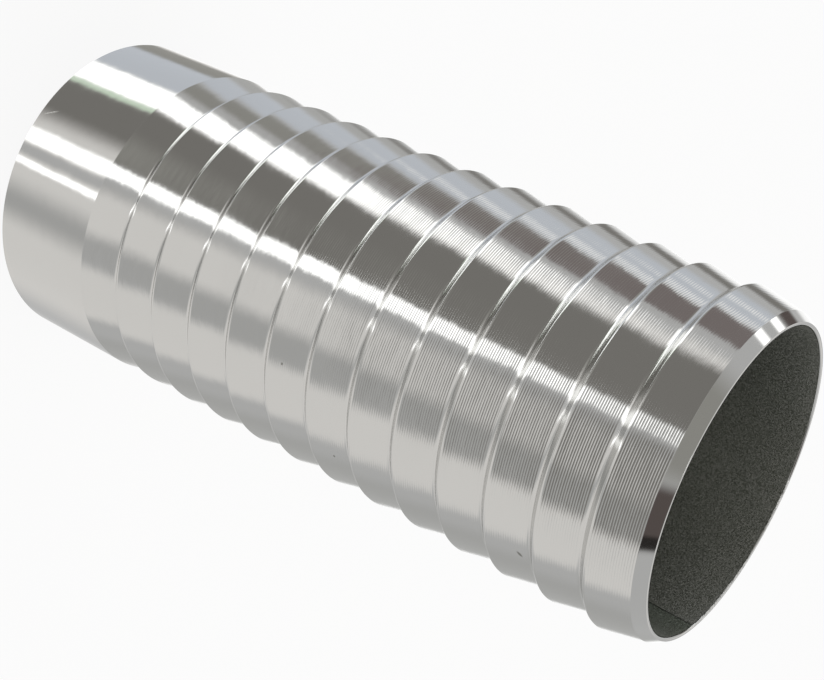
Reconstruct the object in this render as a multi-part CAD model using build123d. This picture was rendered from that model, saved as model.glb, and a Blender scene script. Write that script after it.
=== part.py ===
from build123d import *
import math
import os

# A weld-on hose tail, turned from one length of round tube. Millimetres, +Z up.
# The axis is +Z. The origin is the centre of the square weld end, on which the tail stands, and
# the hose is pushed on over the nose at the top. The barbs are cut into the tube, so that no crest
# stands proud of the plain end.

# Tube
tube_diameter = 50.8
wall_thickness = 3.0

# Plain weld end: the length of full tube diameter that is left below the barbs
weld_end_length = 18.6
weld_end_break = 0.2  # the outer edge of the weld end is broken by this much

# Barbs: each has a steep face on the weld-end side, which grips the hose, then a narrow crest of
# the tube's own skin, and a long cone that falls towards the nose
barb_count = 12
barb_pitch = 7.6
barb_depth = 1.4  # from crest down to root, on the radius
barb_face_angle = 50.0  # between the axis and the steep face
crest_width = 0.25  # along the axis; a sharper crest would cut the hose

# Nose: the last barb's cone, then a chamfer down to a thin lip around the bore
nose_cone_length = 6.0
nose_chamfer_angle = 32.0  # between the axis and the chamfer
lip_thickness = 0.6  # wall that is left at the mouth
mouth_break = 0.25  # the inner edge of the mouth is broken by this much

# Worked out from the dimensions above
tube_radius = tube_diameter / 2
bore_radius = tube_radius - wall_thickness
root_line_radius = tube_radius - barb_depth
face_length = barb_depth / math.tan(math.radians(barb_face_angle))  # along the axis
cone_slope = barb_depth / (barb_pitch - face_length - crest_width)
first_crest = weld_end_length + barb_pitch
last_crest_end = weld_end_length + barb_count * barb_pitch + crest_width
nose_cone_end = last_crest_end + nose_cone_length
nose_cone_end_radius = tube_radius - nose_cone_length * cone_slope
lip_radius = bore_radius + lip_thickness
nose_chamfer_length = (nose_cone_end_radius - lip_radius) / math.tan(math.radians(nose_chamfer_angle))
overall_length = nose_cone_end + nose_chamfer_length


def barb_corners(crest):
    """Corners of one barb, root first, as (radius, height)."""
    return [
        (root_line_radius, crest - face_length),
        (tube_radius, crest),
        (tube_radius, crest + crest_width),
    ]


def wall_corners():
    """Corners of the tail's wall in section, up the outside and down the bore."""
    weld_end = [
        (bore_radius, 0),
        (tube_radius - weld_end_break, 0),
        (tube_radius, weld_end_break),
        (tube_radius, weld_end_length),
    ]
    barbs = []
    for i in range(barb_count):
        barbs += barb_corners(first_crest + i * barb_pitch)
    nose = [
        (nose_cone_end_radius, nose_cone_end),
        (lip_radius, overall_length),
        (bore_radius + mouth_break, overall_length),
        (bore_radius, overall_length - mouth_break),
    ]
    return weld_end + barbs + nose


def hose_tail():
    """The wall's section turned once round the axis."""
    with BuildPart() as tail:
        with BuildSketch(Plane.XZ):
            with BuildLine():
                Polyline(*wall_corners(), close=True)
            make_face()
        revolve(axis=Axis.Z)
    return tail.part


os.makedirs("parts", exist_ok=True)
tail = hose_tail()
export_step(tail, "parts/hose_tail.step")
print(f"overall length {overall_length:.2f} mm, bore {2 * bore_radius:.2f} mm, volume {tail.volume:.0f} mm3")
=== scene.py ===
"""A weld-on stainless hose tail, turned from round tube and stood on its weld end.

Sizes are in millimetres and are turned to metres where they meet Blender. The tail's axis is +Z,
with the weld end on the floor at the origin and the nose at the top.
"""
import math
import random

import bmesh
import bpy
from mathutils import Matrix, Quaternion, Vector


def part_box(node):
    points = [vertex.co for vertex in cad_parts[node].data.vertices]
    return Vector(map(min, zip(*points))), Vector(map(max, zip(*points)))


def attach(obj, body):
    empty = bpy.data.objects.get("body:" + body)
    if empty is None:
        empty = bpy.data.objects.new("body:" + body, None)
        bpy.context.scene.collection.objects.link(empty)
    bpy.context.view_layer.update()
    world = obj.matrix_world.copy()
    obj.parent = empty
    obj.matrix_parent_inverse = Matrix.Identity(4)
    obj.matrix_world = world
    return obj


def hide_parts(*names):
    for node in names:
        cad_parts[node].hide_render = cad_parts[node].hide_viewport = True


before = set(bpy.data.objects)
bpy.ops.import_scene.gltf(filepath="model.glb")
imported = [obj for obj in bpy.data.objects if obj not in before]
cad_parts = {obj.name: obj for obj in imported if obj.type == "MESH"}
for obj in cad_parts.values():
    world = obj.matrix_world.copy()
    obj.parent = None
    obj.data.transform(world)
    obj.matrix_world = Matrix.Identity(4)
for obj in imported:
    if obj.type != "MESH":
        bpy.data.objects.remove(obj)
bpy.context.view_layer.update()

MM = 0.001

# ---------------------------------------------------------------------------------------------
# Sizes of the tail
# ---------------------------------------------------------------------------------------------
tail_low, tail_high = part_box("hose_tail")
TUBE_RADIUS = (tail_high[0] - tail_low[0]) / 2 / MM
TAIL_LENGTH = (tail_high[2] - tail_low[2]) / MM
WALL = 3.0
BORE_RADIUS = TUBE_RADIUS - WALL

WELD_END_LENGTH = 18.6
WELD_END_BREAK = 0.2

BARB_COUNT = 12
BARB_PITCH = 7.6
BARB_DEPTH = 1.4
BARB_FACE_ANGLE = 50.0
CREST_WIDTH = 0.25
ROOT_RADIUS = 0.8  # left by the round nose of the turning tool
CREST_RADIUS = 0.45

NOSE_CONE_LENGTH = 6.0
LIP_THICKNESS = 0.6
MOUTH_BREAK = 0.25
EDGE_RADIUS = 0.06  # the small wear on a corner that is otherwise sharp

# The tube was rolled from sheet and welded: inside, one edge of the sheet stands proud of the other
SEAM_AZIMUTH = 25.7
SEAM_STEP = 0.1
SEAM_WIDTH = 0.4
SEAM_RISE = 20.0  # degrees over which the wall comes back to the round bore

# Stretches of the mouth's edge that keep a little burr: their middle and half their width
BURRS = [(48.0, 28.0), (88.0, 12.0)]
BURR_SIZE = 0.2
BURR_SEED = 7

ROUND_STEPS = 288  # divisions round the axis
ROOT_STEPS = 6
CREST_STEPS = 5
EDGE_STEPS = 2
ON_RING = 0.004  # how near to a ring its corners are looked for
MERGE_DISTANCE = 0.0005

FACE_LENGTH = BARB_DEPTH / math.tan(math.radians(BARB_FACE_ANGLE))
CONE_SLOPE = BARB_DEPTH / (BARB_PITCH - FACE_LENGTH - CREST_WIDTH)
ROOT_LINE_RADIUS = TUBE_RADIUS - BARB_DEPTH
CRESTS = [WELD_END_LENGTH + (i + 1) * BARB_PITCH + CREST_WIDTH / 2 for i in range(BARB_COUNT)]
ROOTS = [crest - CREST_WIDTH / 2 - FACE_LENGTH for crest in CRESTS]
NOSE_CONE_END = CRESTS[-1] + CREST_WIDTH / 2 + NOSE_CONE_LENGTH
NOSE_CONE_END_RADIUS = TUBE_RADIUS - NOSE_CONE_LENGTH * CONE_SLOPE
LIP_RADIUS = BORE_RADIUS + LIP_THICKNESS
BORE_LIMIT = BORE_RADIUS + EDGE_RADIUS / 2  # a corner nearer to the axis is on the bore's wall


# ---------------------------------------------------------------------------------------------
# Turning the piece
# ---------------------------------------------------------------------------------------------
def start_ring(radius, height):
    """A round of the tail's outside to turn upwards from, left selected in edit mode."""
    bpy.ops.object.select_all(action="DESELECT")
    bpy.ops.mesh.primitive_circle_add(
        vertices=ROUND_STEPS, radius=radius * MM, location=(0, 0, height * MM)
    )
    piece = bpy.context.object
    bpy.ops.object.transform_apply(location=True, rotation=True, scale=True)
    bpy.ops.object.mode_set(mode="EDIT")
    bpy.ops.mesh.select_mode(type="EDGE")
    bpy.ops.mesh.select_all(action="SELECT")
    return piece


def turn_to(last, radius, height):
    """Draws the selected ring out to the next corner of the section."""
    last_radius, last_height = last
    bpy.ops.mesh.extrude_region_move(
        TRANSFORM_OT_translate={"value": (0, 0, (height - last_height) * MM)}
    )
    scale = radius / last_radius
    bpy.ops.transform.resize(value=(scale, scale, 1), center_override=(0, 0, height * MM))
    return radius, height


def select_rings(piece, places):
    """Selects the edges that run round the tail at each (radius, height)."""
    mesh = bmesh.from_edit_mesh(piece.data)
    bpy.ops.mesh.select_all(action="DESELECT")
    near = ON_RING * MM
    for edge in mesh.edges:
        ends = [(math.hypot(v.co.x, v.co.y), v.co.z) for v in edge.verts]
        edge.select = any(
            all(abs(r - radius * MM) < near and abs(z - height * MM) < near for r, z in ends)
            for radius, height in places
        )
    bmesh.update_edit_mesh(piece.data)


def round_off(piece, places, offset, steps):
    """Rounds the corners of the section that are given as (radius, height)."""
    select_rings(piece, places)
    bpy.ops.mesh.bevel(
        offset=offset * MM, offset_type="OFFSET", segments=steps, profile=0.5, affect="EDGES"
    )


def raise_seam(piece):
    """Lets the bore's wall sink by a small step just before it comes to the weld seam."""
    seam = math.radians(SEAM_AZIMUTH)
    mesh = bmesh.from_edit_mesh(piece.data)
    for corner in mesh.verts:
        if math.hypot(corner.co.x, corner.co.y) > BORE_LIMIT * MM:
            continue
        before = math.degrees(seam - math.atan2(corner.co.y, corner.co.x))
        if 0 < before < SEAM_RISE:
            outwards = 1 + SEAM_STEP / BORE_RADIUS * (1 - before / SEAM_RISE)
            corner.co.x *= outwards
            corner.co.y *= outwards
    bmesh.update_edit_mesh(piece.data)


def leave_burr(piece):
    """Makes the mouth's edge uneven where the last cut left a burr."""
    unevenness = random.Random(BURR_SEED)
    size_at = {}
    edge_from, edge_within = TAIL_LENGTH - MOUTH_BREAK / 2, LIP_RADIUS - EDGE_RADIUS * 2
    mesh = bmesh.from_edit_mesh(piece.data)
    for corner in mesh.verts:
        radius = math.hypot(corner.co.x, corner.co.y) / MM
        if corner.co.z < edge_from * MM or radius > edge_within:
            continue
        azimuth = math.degrees(math.atan2(corner.co.y, corner.co.x))
        share = max(1 - abs(azimuth - middle) / half for middle, half in BURRS)
        if share > 0:
            column = round(azimuth * ROUND_STEPS / 360)
            size_at.setdefault(column, unevenness.random())
            size = BURR_SIZE * size_at[column] * min(1, 2 * share)
            corner.co.x *= 1 - size / radius
            corner.co.y *= 1 - size / radius
            corner.co.z -= size / 2 * MM
    bmesh.update_edit_mesh(piece.data)


def turned_tail():
    """The tail's wall: up the outside, over the lip and down the bore."""
    weld_end_foot = (TUBE_RADIUS - WELD_END_BREAK, 0)
    piece = start_ring(*weld_end_foot)
    piece.name = "turned_tail"
    corners = [(TUBE_RADIUS, WELD_END_BREAK), (TUBE_RADIUS, WELD_END_LENGTH)]
    for root, crest in zip(ROOTS, CRESTS):
        corners += [(ROOT_LINE_RADIUS, root), (TUBE_RADIUS, crest)]
    corners += [
        (NOSE_CONE_END_RADIUS, NOSE_CONE_END),
        (LIP_RADIUS, TAIL_LENGTH),
        (BORE_RADIUS + MOUTH_BREAK, TAIL_LENGTH),
        (BORE_RADIUS, TAIL_LENGTH - MOUTH_BREAK),
        (BORE_RADIUS, 0),
    ]
    corner = weld_end_foot
    for radius, height in corners:
        corner = turn_to(corner, radius, height)

    select_rings(piece, [(BORE_RADIUS, 0), weld_end_foot])
    bpy.ops.mesh.bridge_edge_loops()

    turn = math.atan(CONE_SLOPE) + math.radians(BARB_FACE_ANGLE)
    roots = [(ROOT_LINE_RADIUS, root) for root in ROOTS]
    round_off(piece, roots, ROOT_RADIUS * math.tan(turn / 2), ROOT_STEPS)
    crests = [(TUBE_RADIUS, crest) for crest in CRESTS]
    round_off(piece, crests, CREST_RADIUS * math.tan(turn / 2), CREST_STEPS)
    sharp = [
        (TUBE_RADIUS, WELD_END_LENGTH),
        (NOSE_CONE_END_RADIUS, NOSE_CONE_END),
        (LIP_RADIUS, TAIL_LENGTH),
        (BORE_RADIUS + MOUTH_BREAK, TAIL_LENGTH),
    ]
    round_off(piece, sharp, EDGE_RADIUS, EDGE_STEPS)

    bpy.ops.mesh.select_all(action="SELECT")
    bpy.ops.mesh.remove_doubles(threshold=MERGE_DISTANCE * MM)
    raise_seam(piece)
    leave_burr(piece)
    bpy.ops.mesh.select_all(action="SELECT")
    bpy.ops.mesh.normals_make_consistent(inside=False)
    bpy.ops.object.mode_set(mode="OBJECT")
    bpy.ops.object.shade_smooth()
    bpy.ops.object.modifier_add(type="WEIGHTED_NORMAL")
    flat_first = piece.modifiers[-1]  # the rounds blend, and the cones between them shade flat
    flat_first.mode = "FACE_AREA"
    flat_first.weight = 100
    flat_first.keep_sharp = True
    bpy.ops.object.modifier_apply(modifier=flat_first.name)
    return piece


# ---------------------------------------------------------------------------------------------
# Materials
# ---------------------------------------------------------------------------------------------
MATH = "ShaderNodeMath"
RANGE = "ShaderNodeMapRange"
MIX = "ShaderNodeMix"
MINUS = {"operation": "SUBTRACT"}
TIMES = {"operation": "MULTIPLY"}
OVER = {"operation": "DIVIDE"}
TIMES_PLUS = {"operation": "MULTIPLY_ADD"}
SMOOTH = {"interpolation_type": "SMOOTHSTEP"}
LAID_OVER = {"data_type": "RGBA"}
MULTIPLIED = {"data_type": "RGBA", "blend_type": "MULTIPLY"}
MIXED = 2  # where a Mix node has its colour

# What a cloudy pattern's values, which crowd about a half, are spread out from
SPREAD = {"From_Min": 0.3, "From_Max": 0.7}
SPREAD_WIDER = {"From_Min": 0.35, "From_Max": 0.65}

SPOT_CORE = 0.4  # the share of a spot's reach that it fills to the full
QUARTER_TURN = 0.25  # turns the drawn-out reflections to run along the axis


def linear(hex_colour):
    """An sRGB hex colour as the linear RGBA that Blender's sockets take."""
    channels = [int(hex_colour[i : i + 2], 16) / 255 for i in (1, 3, 5)]
    return [c / 12.92 if c <= 0.04045 else ((c + 0.055) / 1.055) ** 2.4 for c in channels] + [1.0]


def add_node(tree, kind, settings=None, **inputs):
    """Adds one node; each input is a plain value, another node's output, or that node itself for
    its first output. An input goes by its name, or by its place as _0, _1 and so on."""
    node = tree.nodes.new(kind)
    for name, value in (settings or {}).items():
        setattr(node, name, value)
    for name, value in inputs.items():
        socket = node.inputs[int(name[1:])] if name[0] == "_" else node.inputs[name.replace("_", " ")]
        if isinstance(value, bpy.types.Node):
            value = value.outputs[0]
        if isinstance(value, bpy.types.NodeSocket):
            tree.links.new(value, socket)
        else:
            socket.default_value = value
    return node


def new_material(name):
    material = bpy.data.materials.new(name)
    material.use_nodes = True
    material.node_tree.nodes.clear()
    return material, material.node_tree


def place_on_tail(tree):
    """Where a point is: its place, its height in mm, and its place on the unrolled skin in mm."""
    place = add_node(tree, "ShaderNodeTexCoord").outputs["Object"]
    parts = add_node(tree, "ShaderNodeSeparateXYZ", Vector=place)
    east, north, up = parts.outputs
    height = add_node(tree, MATH, OVER, _0=up, _1=MM)
    angle = add_node(tree, MATH, {"operation": "ARCTAN2"}, _0=north, _1=east)
    arc = add_node(tree, MATH, TIMES, _0=angle, _1=TUBE_RADIUS)
    unrolled = add_node(tree, "ShaderNodeCombineXYZ", X=arc, Y=height)
    return place, height, unrolled


def clouds(tree, place, around, along, detail):
    """A cloudy pattern whose grain is so many mm long round the tail and along it."""
    grain = (around * MM, around * MM, along * MM)
    stretched = add_node(tree, "ShaderNodeVectorMath", OVER, _0=place, _1=grain)
    return add_node(tree, "ShaderNodeTexNoise", Vector=stretched, Scale=1.0, Detail=detail)


def spot(tree, unrolled, azimuth, height, length, width, turn=0.0):
    """1 inside a small oval on the unrolled skin, 0 outside it."""
    arc = TUBE_RADIUS * math.radians((azimuth + 180) % 360 - 180)
    local = add_node(
        tree,
        "ShaderNodeMapping",
        {"vector_type": "TEXTURE"},
        Vector=unrolled,
        Location=(arc, height, 0),
        Rotation=(0, 0, math.radians(turn)),
        Scale=(length / 2, width / 2, 1),
    )
    reach = add_node(tree, "ShaderNodeVectorMath", {"operation": "LENGTH"}, _0=local)
    return add_node(tree, RANGE, SMOOTH, Value=reach.outputs["Value"], From_Min=1.0, From_Max=SPOT_CORE)


def steel_shader(tree, colour, roughness, relief, grain=0.0):
    """Bare steel with a relief in mm; grain is how far the marks round the axis draw the
    reflections out along it."""
    steel = add_node(
        tree,
        "ShaderNodeBsdfPrincipled",
        Base_Color=colour,
        Metallic=1.0,
        Roughness=roughness,
        Anisotropic=grain,
        Anisotropic_Rotation=QUARTER_TURN,
        Normal=add_node(tree, "ShaderNodeBump", Strength=1.0, Distance=MM, Height=relief),
    )
    if grain:
        round_axis = add_node(tree, "ShaderNodeTangent", {"direction_type": "RADIAL", "axis": "Z"})
        tree.links.new(round_axis.outputs[0], steel.inputs["Tangent"])
    add_node(tree, "ShaderNodeOutputMaterial", Surface=steel)


STEEL = "#cfcfcd"
PALE_STEEL = "#ececea"
DARK_FLECK = "#8f8e88"

# Coarser than the buffing wheel's real hairlines, so that they show
HAIRLINE_SPACING, HAIRLINE_DEPTH, HAIRLINE_DETAIL = 0.11, 0.0006, 3.0
BUFFING_WAVES = {"around": 8.0, "along": 5.0, "detail": 2.0}
BUFFING_WAVE_HEIGHT = 0.04
HAZE = {"around": 3.0, "along": 3.0, "detail": 3.0}
SCRATCH = {"azimuth": -104.6, "height": 2.1, "length": 3.6, "width": 0.42, "turn": 120.0}
SCRATCH_ROUGHNESS = 0.35
BUFFED_ROUGHNESS = {"To_Min": 0.06, "To_Max": 0.12}
BUFFED_GRAIN = 0.5


def polished_tube():
    """Buffed 304 stainless tube: a near mirror with a faint haze and hairlines round the tube."""
    material, tree = new_material("buffed_stainless_tube")
    place, height, unrolled = place_on_tail(tree)
    hairlines = add_node(
        tree,
        "ShaderNodeTexNoise",
        {"noise_dimensions": "1D"},
        W=height,
        Scale=1 / HAIRLINE_SPACING,
        Detail=HAIRLINE_DETAIL,
    )
    waves = clouds(tree, place, **BUFFING_WAVES)
    relief = add_node(tree, MATH, TIMES_PLUS, _0=waves, _1=BUFFING_WAVE_HEIGHT, _2=0.0)
    relief = add_node(tree, MATH, TIMES_PLUS, _0=hairlines, _1=HAIRLINE_DEPTH, _2=relief)
    haze = clouds(tree, place, **HAZE)
    roughness = add_node(tree, RANGE, Value=haze, **SPREAD, **BUFFED_ROUGHNESS)
    scratch = spot(tree, unrolled, **SCRATCH)
    dulled = add_node(tree, MATH, TIMES_PLUS, _0=scratch, _1=SCRATCH_ROUGHNESS, _2=roughness)
    colour = add_node(tree, MIX, LAID_OVER, _0=scratch, _6=linear(STEEL), _7=linear(PALE_STEEL))
    steel_shader(tree, colour.outputs[MIXED], dulled, relief, BUFFED_GRAIN)
    return material


FEED = 0.325  # the tool moved on by this much in each turn
FEED_DEPTH_LOW, FEED_DEPTH_HIGH = 0.0015, 0.009  # the marks near the weld end and near the nose
FEED_CHANGE_FROM, FEED_CHANGE_TO = 48.0, 76.0  # the heights between which they grow
CHATTER = {"around": 2.5, "along": 0.8, "detail": 2.0}
CHATTER_HEIGHT = 0.016  # unevenness of the cut, which breaks the edges of the highlights
CUT_WAVES = {"around": 14.0, "along": 7.0, "detail": 2.0}
CUT_WAVE_HEIGHT = 0.1
TURNED_ROUGHNESS = {"To_Min": 0.08, "To_Max": 0.14}
TURNED_GRAIN = 0.7
FLECKS = [
    {"azimuth": -31.3, "height": 68.0, "length": 0.7, "width": 0.4},
    {"azimuth": -60.6, "height": 59.1, "length": 0.6, "width": 0.35},
    {"azimuth": -32.3, "height": 99.5, "length": 1.6, "width": 0.6, "turn": 30.0},
]


def turned_barbs():
    """304 stainless as a round-nosed tool leaves it: bright, with a fine ridge at every turn."""
    material, tree = new_material("turned_stainless")
    place, height, unrolled = place_on_tail(tree)
    turns = add_node(tree, MATH, OVER, _0=height, _1=FEED)
    across = add_node(tree, MATH, {"operation": "FRACT"}, _0=turns)
    from_middle = add_node(tree, MATH, TIMES_PLUS, _0=across, _1=2.0, _2=-1.0)
    scallop = add_node(tree, MATH, TIMES, _0=from_middle, _1=from_middle)
    depth = add_node(
        tree,
        RANGE,
        SMOOTH,
        Value=height,
        From_Min=FEED_CHANGE_FROM,
        From_Max=FEED_CHANGE_TO,
        To_Min=FEED_DEPTH_LOW,
        To_Max=FEED_DEPTH_HIGH,
    )
    chatter = clouds(tree, place, **CHATTER)
    waves = clouds(tree, place, **CUT_WAVES)
    relief = add_node(tree, MATH, TIMES_PLUS, _0=waves, _1=CUT_WAVE_HEIGHT, _2=0.0)
    relief = add_node(tree, MATH, TIMES_PLUS, _0=chatter, _1=CHATTER_HEIGHT, _2=relief)
    relief = add_node(tree, MATH, TIMES_PLUS, _0=scallop, _1=depth, _2=relief)
    colour = linear(STEEL)
    for fleck in FLECKS:
        share = spot(tree, unrolled, **fleck)
        flecked = add_node(tree, MIX, LAID_OVER, _0=share, _6=colour, _7=linear(DARK_FLECK))
        colour = flecked.outputs[MIXED]
    roughness = add_node(tree, RANGE, Value=waves, **SPREAD_WIDER, **TURNED_ROUGHNESS)
    steel_shader(tree, colour, roughness, relief, TURNED_GRAIN)
    return material


FACING_MARKS_PER_MM, FACING_MARK_DEPTH, FACING_MARK_DETAIL = 12.0, 0.0004, 2.0
FACED_ROUGHNESS = 0.08
FACED_GRAIN = 0.4
TORN = {"around": 0.45, "along": 0.45, "detail": 1.0}
TORN_DEPTH = 0.25
TORN_HEIGHT = 1.0  # half of it lies below the mouth


def faced_nose():
    """The chamfer and lip, cut last with a light feed: bright, but torn where burr is left."""
    material, tree = new_material("faced_stainless")
    place, height, unrolled = place_on_tail(tree)
    marks = add_node(
        tree,
        "ShaderNodeTexNoise",
        {"noise_dimensions": "1D"},
        W=height,
        Scale=FACING_MARKS_PER_MM,
        Detail=FACING_MARK_DETAIL,
    )
    relief = add_node(tree, MATH, TIMES_PLUS, _0=marks, _1=FACING_MARK_DEPTH, _2=0.0)
    torn = clouds(tree, place, **TORN)
    for middle, half in BURRS:
        arc = math.radians(2 * half) * TUBE_RADIUS
        share = spot(tree, unrolled, middle, TAIL_LENGTH, arc, TORN_HEIGHT)
        depth = add_node(tree, MATH, TIMES_PLUS, _0=share, _1=TORN_DEPTH, _2=0.0)
        relief = add_node(tree, MATH, TIMES_PLUS, _0=torn, _1=depth, _2=relief)
    steel_shader(tree, linear(STEEL), FACED_ROUGHNESS, relief, FACED_GRAIN)
    return material


BORE_LIGHT = "#c6c7c2"
BORE_DARK = "#95988f"
BORE_GRAIN = {"around": 0.25, "along": 0.25, "detail": 2.0}
BORE_GRAIN_HEIGHT = 0.05
PICKLED_ROUGHNESS = {"To_Min": 0.45, "To_Max": 0.65}
# painted shade: the colour that darkens and greens the bore over a stretch before the seam
PAINTED_SEAM_SHADE = "#e2eae4"
PAINTED_SEAM_SHADE_WIDTH = 45.0  # degrees from the seam over which the painted shade beside it fades away
SEAM_DARK = "#5c5f5b"


def pickled_bore():
    """The tube's inside, pickled in acid after it was seam welded: a dull, fine-grained grey, with
    painted shade before the seam.
    """
    material, tree = new_material("pickled_stainless")
    place, _, unrolled = place_on_tail(tree)
    grain = clouds(tree, place, **BORE_GRAIN)
    speckle = add_node(tree, RANGE, Value=grain, **SPREAD_WIDER)
    speckled = add_node(
        tree, MIX, LAID_OVER, _0=speckle, _6=linear(BORE_DARK), _7=linear(BORE_LIGHT)
    )
    arc = add_node(tree, "ShaderNodeSeparateXYZ", Vector=unrolled)
    seam_arc = TUBE_RADIUS * math.radians(SEAM_AZIMUTH)
    past_seam = add_node(tree, MATH, TIMES_PLUS, _0=arc, _1=1.0, _2=-seam_arc)
    whole_turn = 2 * math.pi * TUBE_RADIUS
    before_seam = add_node(
        tree, MATH, {"operation": "WRAP"}, _0=past_seam, _1=0.0, _2=-whole_turn
    )
    # painted shade: the bore's colour is made darker and greener over a stretch before the seam
    painted_shade_arc = TUBE_RADIUS * math.radians(PAINTED_SEAM_SHADE_WIDTH)
    beside_seam = add_node(tree, RANGE, Value=before_seam, From_Min=-painted_shade_arc, From_Max=0.0)
    seam_shaded = add_node(
        tree, MIX, MULTIPLIED, _0=beside_seam, _6=speckled.outputs[MIXED], _7=linear(PAINTED_SEAM_SHADE)
    )
    seam = spot(tree, unrolled, SEAM_AZIMUTH, TAIL_LENGTH / 2, SEAM_WIDTH, 2 * TAIL_LENGTH)
    colour = add_node(
        tree, MIX, LAID_OVER, _0=seam, _6=seam_shaded.outputs[MIXED], _7=linear(SEAM_DARK)
    )
    relief = add_node(tree, MATH, TIMES_PLUS, _0=grain, _1=BORE_GRAIN_HEIGHT, _2=0.0)
    roughness = add_node(tree, RANGE, Value=grain, **SPREAD, **PICKLED_ROUGHNESS)
    steel_shader(tree, colour.outputs[MIXED], roughness, relief)
    return material


def finish_faces(piece):
    """Gives each stretch of the wall the finish that it was left with."""
    piece.data.materials.clear()
    for material in (polished_tube(), turned_barbs(), faced_nose(), pickled_bore()):
        piece.data.materials.append(material)
    skin, barbs, nose, bore = range(4)
    sunk_bore = BORE_RADIUS + SEAM_STEP + ON_RING
    mouth = TAIL_LENGTH - MOUTH_BREAK
    for face in piece.data.polygons:
        radius = math.hypot(face.center.x, face.center.y) / MM
        height = face.center.z / MM
        if radius < sunk_bore and height < mouth:
            face.material_index = bore
        elif height < WELD_END_LENGTH:
            face.material_index = skin
        elif height < NOSE_CONE_END:
            face.material_index = barbs
        else:
            face.material_index = nose


# ---------------------------------------------------------------------------------------------
# Studio
# ---------------------------------------------------------------------------------------------
CAMERA_AZIMUTH = -90.0
CAMERA_DISTANCE = 203.9
CAMERA_HEIGHT = 175.1
CAMERA_AIM = (3.1, 0.0, 49.2)
CAMERA_ROLL = 115.87
IMAGE_WIDTH, IMAGE_HEIGHT = 824, 680
FOCAL_PIXELS = 1548.7
CENTRE_PIXEL = (330, 312)
SENSOR_WIDTH = 36.0
NEAREST_SEEN = 0.01

FLOOR_SIZE = 8.0
PAPER = "#f4f4f4"
PAPER_WHITE = "#ffffff"
PAPER_EVENNESS = 0.9  # how much of the floor's white comes from itself, and not from the lamp
FAR_WHITE = "#fcfcfc"  # what is seen past the floor, a match for the lit paper

OVERHEAD_PLACE = (0.3, 0.4, 1.5)
OVERHEAD_SIZE = 1.2
OVERHEAD_WATTS = 6.0


def add_camera():
    data = bpy.data.cameras.new("camera")
    data.sensor_fit = "HORIZONTAL"
    data.sensor_width = SENSOR_WIDTH
    data.lens = SENSOR_WIDTH * FOCAL_PIXELS / IMAGE_WIDTH
    data.shift_x = (IMAGE_WIDTH / 2 - CENTRE_PIXEL[0]) / IMAGE_WIDTH
    data.shift_y = (CENTRE_PIXEL[1] - IMAGE_HEIGHT / 2) / IMAGE_WIDTH
    data.clip_start = NEAREST_SEEN
    camera = bpy.data.objects.new("camera", data)
    bpy.context.scene.collection.objects.link(camera)
    azimuth = math.radians(CAMERA_AZIMUTH)
    place = Vector(
        (CAMERA_DISTANCE * math.cos(azimuth), CAMERA_DISTANCE * math.sin(azimuth), CAMERA_HEIGHT)
    )
    look = Vector(CAMERA_AIM) - place
    upright = look.to_track_quat("-Z", "Y")
    camera.location = place * MM
    camera.rotation_mode = "QUATERNION"
    camera.rotation_quaternion = upright @ Quaternion((0, 0, 1), math.radians(CAMERA_ROLL))
    bpy.context.scene.camera = camera


def add_floor():
    """White paper that is nearly even to the camera, keeps the shadow and isn't mirrored."""
    bpy.ops.object.select_all(action="DESELECT")
    bpy.ops.mesh.primitive_plane_add(size=FLOOR_SIZE)
    floor = bpy.context.object
    floor.name = "floor"
    material, tree = new_material("white_sweep")
    paper = add_node(tree, "ShaderNodeBsdfDiffuse", Color=linear(PAPER))
    lit = add_node(tree, "ShaderNodeEmission", Color=linear(PAPER_WHITE), Strength=1.0)
    seen = add_node(tree, "ShaderNodeLightPath").outputs["Is Camera Ray"]
    share = add_node(tree, MATH, TIMES, _0=seen, _1=PAPER_EVENNESS)
    mix = add_node(tree, "ShaderNodeMixShader", _0=share, _1=paper, _2=lit)
    add_node(tree, "ShaderNodeOutputMaterial", Surface=mix)
    floor.data.materials.append(material)
    floor.visible_glossy = False


def studio_panel():
    """A node group: one upright panel of the studio, laid over what is behind it."""
    group = bpy.data.node_groups.new("studio_panel", "ShaderNodeTree")
    for kind, names in (
        ("NodeSocketColor", ("Behind", "Panel")),
        ("NodeSocketFloat", ("Azimuth", "Elevation", "Centre", "Half", "Bottom", "Top")),
        ("NodeSocketFloat", ("Side Blur", "End Blur", "Lean")),
    ):
        for name in names:
            group.interface.new_socket(name, in_out="INPUT", socket_type=kind)
    group.interface.new_socket("Colour", in_out="OUTPUT", socket_type="NodeSocketColor")
    given = group.nodes.new("NodeGroupInput").outputs
    azimuth, elevation = given["Azimuth"], given["Elevation"]
    middle = add_node(
        group, MATH, TIMES_PLUS, _0=elevation, _1=given["Lean"], _2=given["Centre"]
    )
    away = add_node(group, MATH, MINUS, _0=azimuth, _1=middle)
    wrapped = add_node(group, MATH, {"operation": "WRAP"}, _0=away, _1=180.0, _2=-180.0)
    aside = add_node(group, MATH, {"operation": "ABSOLUTE"}, _0=wrapped)
    mask = 1.0
    for far, near, blur in (
        (given["Half"], aside, given["Side Blur"]),
        (elevation, given["Bottom"], given["End Blur"]),
        (given["Top"], elevation, given["End Blur"]),
    ):
        inside = add_node(group, MATH, MINUS, _0=far, _1=near)
        share = add_node(group, MATH, OVER, _0=inside, _1=blur)
        edge = add_node(group, RANGE, SMOOTH, Value=share, From_Min=-0.5, From_Max=0.5)
        mask = add_node(group, MATH, TIMES, _0=edge, _1=mask)
    laid = add_node(group, MIX, LAID_OVER, _0=mask, _6=given["Behind"], _7=given["Panel"])
    add_node(group, "NodeGroupOutput", Colour=laid.outputs[MIXED])
    return group


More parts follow.
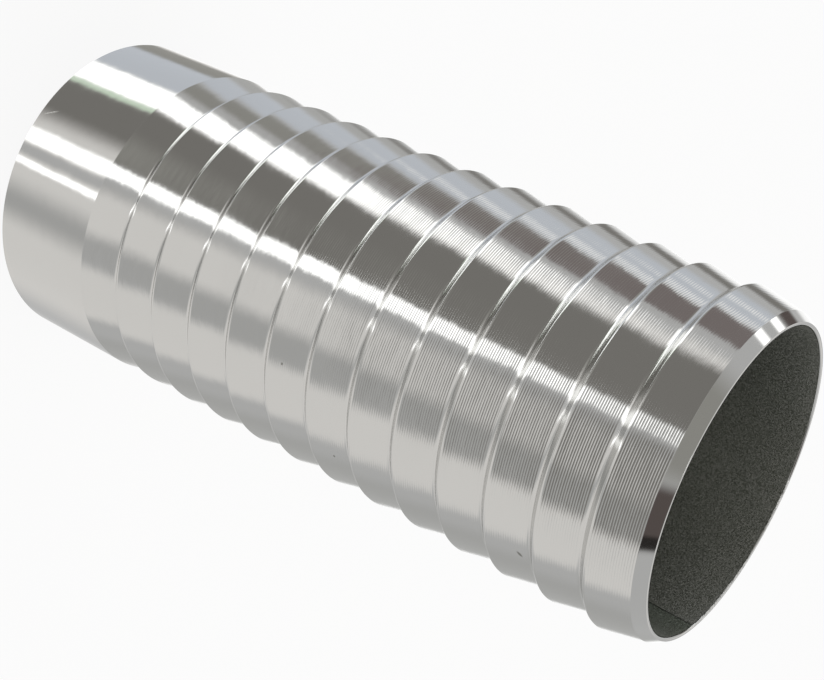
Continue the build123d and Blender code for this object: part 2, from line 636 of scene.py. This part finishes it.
# The studio that the steel mirrors. Each upright panel is laid over those before it and has a tone,
# the azimuth of its middle from the camera's side, half its width, its bottom and top as
# elevations, the blur of its sides and of its ends, and how far it leans to the right, in degrees
# to each degree up
STUDIO_STRENGTH = 1.6
LAMP_GAIN = 1.35  # how far the lamps outshine white
LAMP = "#ffffff"
WHITE = "#e0e0e0"
PALE = "#c6c4c2"
COOL = "#b0b4bb"
GREEN = "#bfcebc"
GREY = "#a5a5a5"
SHADE = "#9b9b9a"
DIM = "#84837f"
DARK = "#6e6c69"
BROWN = "#6d6665"
DUSK = "#4f4846"
BLACK = "#262423"
PANELS = [
    ("ceiling_shade", DIM, -22, 42, 30, 90, 30, 16, 0),
    ("far_ceiling", PALE, 180, 45, 20, 60, 20, 12, 0),
    ("ceiling_lamp", LAMP, 20, 30, 64, 84, 6, 6, 0),
    ("dark_hall", DUSK, 48, 23, 26, 90, 12, 16, 0),
    ("hall_door", BLACK, 67, 5, 24, 90, 4, 10, 0),
    ("left_lamp", LAMP, -122, 3.5, 10, 20, 3, 4, 0),
    ("right_lamp", LAMP, -105, 3.5, 17, 30, 3, 4, 0),
    ("back_wall", WHITE, -176, 25, -34, 2, 8, 16, 0),
    ("wall_foot", WHITE, 170, 12, -36, -20, 6, 5, 0),
    ("left_corner", SHADE, -146, 15, -90, -18, 12, 10, 0),
    ("left_post", DARK, -136, 5, -28, 12, 6, 12, 0.4),
    ("post_cap", DUSK, -135, 6, 2, 14, 6, 4, 0),
    ("cool_wall", COOL, -110, 12, -90, 8, 8, 12, 0.2),
    ("cool_wall_edge", WHITE, -97.4, 2, -16, 8, 3, 10, 0.7),
    ("cool_wall_end", WHITE, -113, 2.5, -5, 12, 4, 8, 0),
    ("door_foot", DIM, -92, 7, -34, -8, 6, 10, 0),
    ("brown_door", BROWN, -87.5, 9.5, -14, 14, 3.5, 10, 0.1),
    ("dark_gap", DARK, -35, 27, -90, 28, 6, 10, 0.1),
    ("gap_glow", DIM, -24, 10, -90, -14, 16, 14, 0),
    ("softbox_glow", PALE, -62.5, 4, -26, 12, 8, 14, 0.1),
    ("softbox", LAMP, -61.5, 7.6, -34, -9, 5, 14, 0.4),
    ("strip_glow", SHADE, -9, 4.5, -20, 16, 3, 14, 0),
    ("strip", LAMP, -9, 4.5, -34, 1, 3, 12, 0),
    ("recess", SHADE, 38, 28, -20, 6, 10, 10, 0.6),
    ("recess_top", DARK, 32, 34, 2, 20, 8, 8, 0),
    ("pale_wall", PALE, 20, 15, -34, -1, 12, 18, 0),
    ("right_wall", PALE, 82, 21, -34, 8, 10, 12, 0.15),
    ("right_corner", SHADE, 140, 22, -40, 0, 16, 12, 0),
    # the tail's plain end mirrors what is below
    ("low_wall", PALE, 0, 180, -90, -34, 4, 4, 0),
    ("low_corner", GREY, 150, 22, -90, -34, 40, 4, 0),
    ("low_back", WHITE, -176, 12, -90, -34, 12, 4, 0),
    ("low_post", DIM, -140, 16, -90, -34, 12, 4, 0),
    ("low_cool_wall", COOL, -110, 20, -90, -34, 8, 4, 0),
    ("low_gap", DARK, -44, 24, -90, -34, 18, 4, 0),
    ("low_glow", PALE, -20, 7, -90, -34, 20, 4, 0),
    ("low_softbox", LAMP, -79, 11, -90, -34, 5, 4, 0),
    ("low_green", GREEN, -66, 2.4, -90, -34, 4, 4, 0),
    ("low_strip", LAMP, -10, 6, -90, -34, 4, 4, 0),
    ("low_recess", SHADE, 43, 12, -90, -34, 22, 4, 0),
    ("low_edge", GREY, 2, 4, -90, -34, 4, 4, 0),
    ("low_line", LAMP, 11.5, 2.5, -90, -34, 3, 4, 0),
]


def add_world():
    """The studio for the steel to mirror, and plain white for the camera."""
    world = bpy.data.worlds.new("studio")
    bpy.context.scene.world = world
    world.use_nodes = True
    tree = world.node_tree
    tree.nodes.clear()
    way = add_node(tree, "ShaderNodeTexCoord").outputs["Generated"]
    east, north, up = add_node(tree, "ShaderNodeSeparateXYZ", Vector=way).outputs
    turn = add_node(tree, MATH, {"operation": "ARCTAN2"}, _0=north, _1=east)
    bearing = add_node(tree, MATH, {"operation": "DEGREES"}, _0=turn)
    azimuth = add_node(tree, MATH, MINUS, _0=bearing, _1=CAMERA_AZIMUTH)
    rise = add_node(tree, MATH, {"operation": "ARCSINE"}, _0=up)
    elevation = add_node(tree, MATH, {"operation": "DEGREES"}, _0=rise)
    group = studio_panel()
    colour = linear(GREY)
    for name, tone, centre, half, bottom, top, side_blur, end_blur, lean in PANELS:
        gain = LAMP_GAIN if tone == LAMP else 1.0
        colour = add_node(
            tree,
            "ShaderNodeGroup",
            {"node_tree": group, "label": name},
            Behind=colour,
            Panel=[c * gain for c in linear(tone)[:3]] + [1.0],
            Azimuth=azimuth,
            Elevation=elevation,
            Centre=centre,
            Half=half,
            Bottom=bottom,
            Top=top,
            Side_Blur=side_blur,
            End_Blur=end_blur,
            Lean=lean,
        )
    room = add_node(tree, "ShaderNodeBackground", Color=colour, Strength=STUDIO_STRENGTH)
    white = add_node(tree, "ShaderNodeBackground", Color=linear(FAR_WHITE), Strength=1.0)
    seen = add_node(tree, "ShaderNodeLightPath").outputs["Is Camera Ray"]
    mix = add_node(tree, "ShaderNodeMixShader", _0=seen, _1=room, _2=white)
    add_node(tree, "ShaderNodeOutputWorld", Surface=mix)


def add_overhead_lamp():
    """A wide soft lamp over the tail, which lights the paper and leaves a faint shadow on it."""
    data = bpy.data.lights.new("overhead", "AREA")
    data.shape = "DISK"
    data.size = OVERHEAD_SIZE
    data.energy = OVERHEAD_WATTS
    lamp = bpy.data.objects.new("overhead", data)
    lamp.location = OVERHEAD_PLACE
    lamp.rotation_mode = "QUATERNION"
    lamp.rotation_quaternion = (-lamp.location).to_track_quat("-Z", "Y")
    lamp.visible_glossy = False
    lamp.visible_camera = False
    bpy.context.scene.collection.objects.link(lamp)


add_camera()
add_floor()
add_world()
add_overhead_lamp()

tail = turned_tail()
finish_faces(tail)
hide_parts("hose_tail")
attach(tail, "root")

bpy.context.scene.view_settings.view_transform = "Standard"
